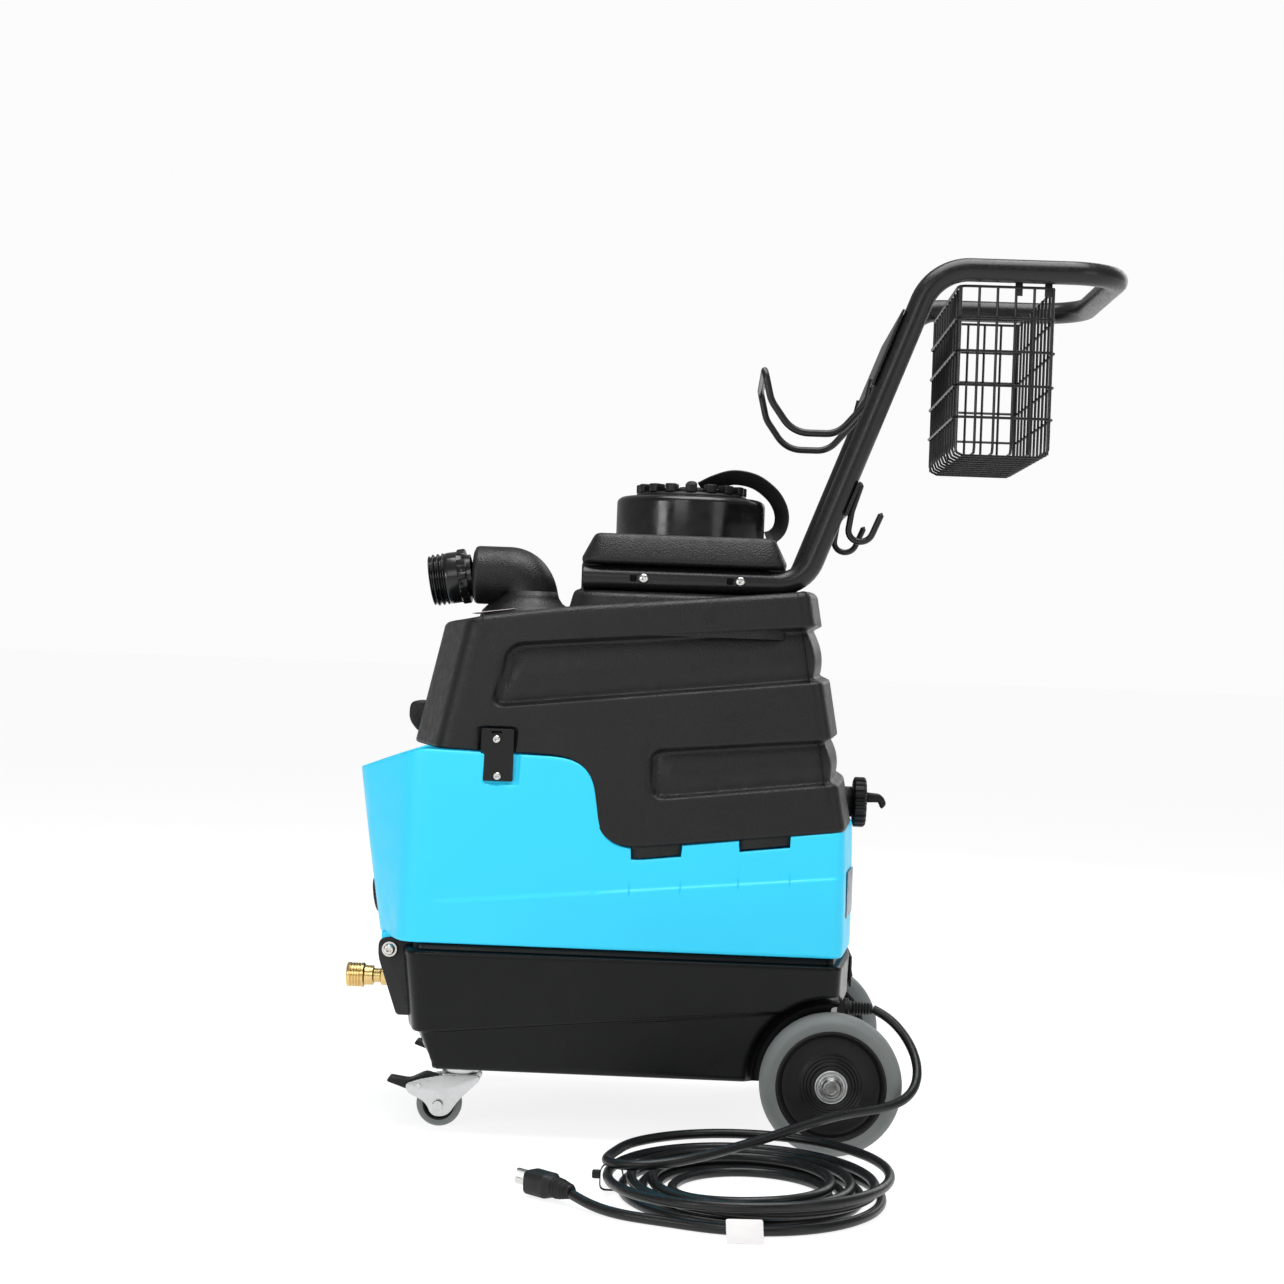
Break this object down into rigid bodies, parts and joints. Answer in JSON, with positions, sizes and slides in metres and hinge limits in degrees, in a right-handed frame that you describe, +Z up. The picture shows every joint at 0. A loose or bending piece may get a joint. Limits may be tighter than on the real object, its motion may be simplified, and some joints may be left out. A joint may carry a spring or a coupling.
{
  "type": "carpet cleaner machine",
  "caption": "Portable carpet extractor: blue solution tank and black recovery tank tipping forward on a wheeled base, with tube handle, basket, hooks and mains cord.",
  "frame": {"origin": "on the floor under the middle of the machine's bounding box, its cord left out", "axes": "+X to the handle end, -X to the front with the hose connections, +Y to the machine's right, +Z up"},
  "size_m": [0.85, 0.7963, 0.9682],
  "materials": {
    "base_plastic": "semi-gloss moulded black polyethylene",
    "blue_plastic": "satin rotationally moulded sky blue polyethylene",
    "black_plastic": "satin black moulded polyethylene with a fine grain",
    "gloss_plastic": "glossy black moulding",
    "tyre_grey": "plain grey non-marking rubber",
    "moulded_black": "moulded black plastic",
    "soft_rubber": "soft black rubber",
    "cord_jacket": "smooth black cord jacket",
    "zinc": "bright zinc plate",
    "bright_steel": "bright machined steel",
    "brass": "turned brass",
    "black_steel": "black powder coat",
    "motor_metal": "cast motor casing"
  },
  "bodies": {
    "base": {"base_pan": "base_plastic", "rear_axle": "zinc", "axle_cap_left": "bright_steel", "axle_cap_right": "bright_steel", "caster_plate_left": "zinc", "caster_plate_right": "zinc", "vacuum_motor": "motor_metal", "water_pump": "motor_metal", "coupler_body": "brass", "hinge_bracket_left": "black_steel", "hinge_bracket_right": "black_steel", "hinge_bolt_left": "bright_steel", "hinge_bolt_right": "bright_steel", "switch_plate": "black_steel", "strain_relief": "soft_rubber", "cord_lead": "cord_jacket", "cord_coil": "cord_jacket", "cord_tail": "cord_jacket", "plug": "soft_rubber"},
    "tank_assembly": {"solution_tank": "blue_plastic", "front_knob": "moulded_black", "recovery_tank": "black_plastic", "clip_plate_left": "black_steel", "clip_plate_right": "black_steel", "clip_screw_left_upper": "bright_steel", "clip_screw_left_lower": "bright_steel", "clip_screw_right_upper": "bright_steel", "clip_screw_right_lower": "bright_steel", "lid_ring": "gloss_plastic", "lid_tether": "soft_rubber", "inlet_elbow": "black_plastic", "float_valve": "black_plastic", "handle_tube": "black_steel", "handle_bolt_left_front": "bright_steel", "handle_bolt_left_rear": "bright_steel", "handle_bolt_right_front": "bright_steel", "handle_bolt_right_rear": "bright_steel", "hose_hook": "black_steel", "cord_hooks": "black_steel", "basket": "black_steel"},
    "lid_cap": {"lid_cap": "moulded_black"},
    "hose_connector": {"hose_connector": "gloss_plastic"},
    "drain_cap": {"drain_cap": "moulded_black"},
    "coupler_sleeve": {"coupler_sleeve": "brass"},
    "pump_rocker": {"pump_rocker": "gloss_plastic"},
    "vacuum_rocker": {"vacuum_rocker": "gloss_plastic"},
    "wheel_left": {"wheel_hub_left": "moulded_black", "wheel_tyre_left": "tyre_grey", "wheel_bearing_left": "zinc"},
    "caster_left": {"caster_fork_left": "zinc"},
    "caster_wheel_left": {"caster_hub_left": "moulded_black", "caster_tyre_left": "tyre_grey"},
    "brake_pedal_left": {"brake_pedal_left": "moulded_black"},
    "wheel_right": {"wheel_hub_right": "moulded_black", "wheel_tyre_right": "tyre_grey", "wheel_bearing_right": "zinc"},
    "caster_right": {"caster_fork_right": "zinc"},
    "caster_wheel_right": {"caster_hub_right": "moulded_black", "caster_tyre_right": "tyre_grey"},
    "brake_pedal_right": {"brake_pedal_right": "moulded_black"}
  },
  "joints": [
    {"name": "tank_hinge", "type": "hinge", "parent": "base", "child": "tank_assembly", "pos_m": [-0.357, 0, 0.196], "axis": [0, -1, 0], "range_deg": [0, 65]},
    {"name": "lid_turn", "type": "hinge", "parent": "tank_assembly", "child": "lid_cap", "pos_m": [-0.048, 0, 0.7], "axis": [0, 0, 1], "continuous": true},
    {"name": "hose_connector_swivel", "type": "hinge", "parent": "tank_assembly", "child": "hose_connector", "pos_m": [-0.3015, 0, 0.6095], "axis": [-0.9848, 0, -0.1736], "continuous": true},
    {"name": "drain_turn", "type": "hinge", "parent": "tank_assembly", "child": "drain_cap", "pos_m": [0.157, 0, 0.366], "axis": [1, 0, 0], "range_deg": [0, 90]},
    {"name": "coupler_slide", "type": "slide", "parent": "base", "child": "coupler_sleeve", "axis": [1, 0, 0], "range_m": [0, 0.006], "stiffness_N_per_m": 400, "springref_m": -0.002},
    {"name": "pump_rocker_press", "type": "hinge", "parent": "base", "child": "pump_rocker", "pos_m": [0.1525, -0.016, 0.177], "axis": [0, 1, 0], "range_deg": [0, 8]},
    {"name": "vacuum_rocker_press", "type": "hinge", "parent": "base", "child": "vacuum_rocker", "pos_m": [0.1525, 0.016, 0.177], "axis": [0, 1, 0], "range_deg": [0, 8]},
    {"name": "wheel_left_spin", "type": "hinge", "parent": "base", "child": "wheel_left", "pos_m": [0.125, -0.195, 0.0762], "axis": [0, 1, 0], "continuous": true},
    {"name": "caster_left_swivel", "type": "hinge", "parent": "base", "child": "caster_left", "pos_m": [-0.277, -0.122, 0.06], "axis": [0, 0, 1], "continuous": true},
    {"name": "caster_wheel_left_spin", "type": "hinge", "parent": "caster_left", "child": "caster_wheel_left", "pos_m": [-0.3, -0.122, 0.025], "axis": [0, 1, 0], "continuous": true},
    {"name": "brake_pedal_left_press", "type": "hinge", "parent": "caster_left", "child": "brake_pedal_left", "pos_m": [-0.322, -0.122, 0.045], "axis": [0, -1, 0], "range_deg": [0, 12]},
    {"name": "wheel_right_spin", "type": "hinge", "parent": "base", "child": "wheel_right", "pos_m": [0.125, 0.195, 0.0762], "axis": [0, 1, 0], "continuous": true},
    {"name": "caster_right_swivel", "type": "hinge", "parent": "base", "child": "caster_right", "pos_m": [-0.277, 0.122, 0.06], "axis": [0, 0, 1], "continuous": true},
    {"name": "caster_wheel_right_spin", "type": "hinge", "parent": "caster_right", "child": "caster_wheel_right", "pos_m": [-0.3, 0.122, 0.025], "axis": [0, 1, 0], "continuous": true},
    {"name": "brake_pedal_right_press", "type": "hinge", "parent": "caster_right", "child": "brake_pedal_right", "pos_m": [-0.322, 0.122, 0.045], "axis": [0, -1, 0], "range_deg": [0, 12]}
  ]
}
